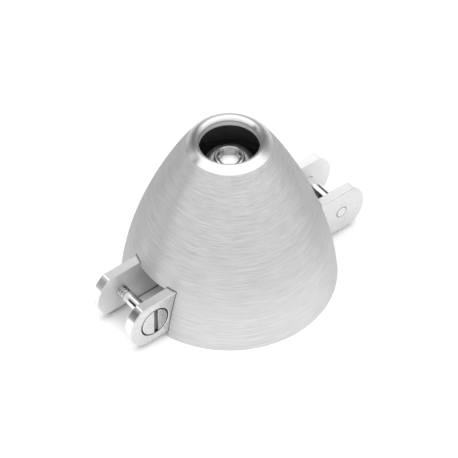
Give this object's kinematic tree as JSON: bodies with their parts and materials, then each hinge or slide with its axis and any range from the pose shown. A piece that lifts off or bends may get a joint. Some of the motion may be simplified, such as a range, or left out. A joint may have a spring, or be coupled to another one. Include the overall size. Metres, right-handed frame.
{
  "type": "propeller spinner",
  "caption": "Open-nosed turned metal propeller spinner with a blade yoke through its sides, for folding blades on a model aircraft motor shaft.",
  "frame": {"origin": "centre of the base rim, in the plane it stands on", "axes": "+Z along the shaft towards the nose, +X along the blade yoke, +Y across the yoke"},
  "size_m": [0.0682, 0.05, 0.0431],
  "materials": {
    "cap_aluminium": "fine brushing round the axis, lip polished",
    "carrier_aluminium": "turned, satin",
    "yoke_aluminium": "milled, satin",
    "plate_aluminium": "turned, satin",
    "screw_steel": "bright, faced head",
    "collet_steel": "turned",
    "centre_screw_steel": "polished"
  },
  "bodies": {
    "root": {"spinner_cap": "cap_aluminium", "nose_carrier": "carrier_aluminium", "blade_yoke": "yoke_aluminium", "blade_screw_left": "screw_steel", "blade_screw_right": "screw_steel", "back_plate": "plate_aluminium", "split_collet": "collet_steel", "clamp_washer": "collet_steel", "clamp_nut": "collet_steel", "centre_screw": "centre_screw_steel"}
  },
  "joints": []
}
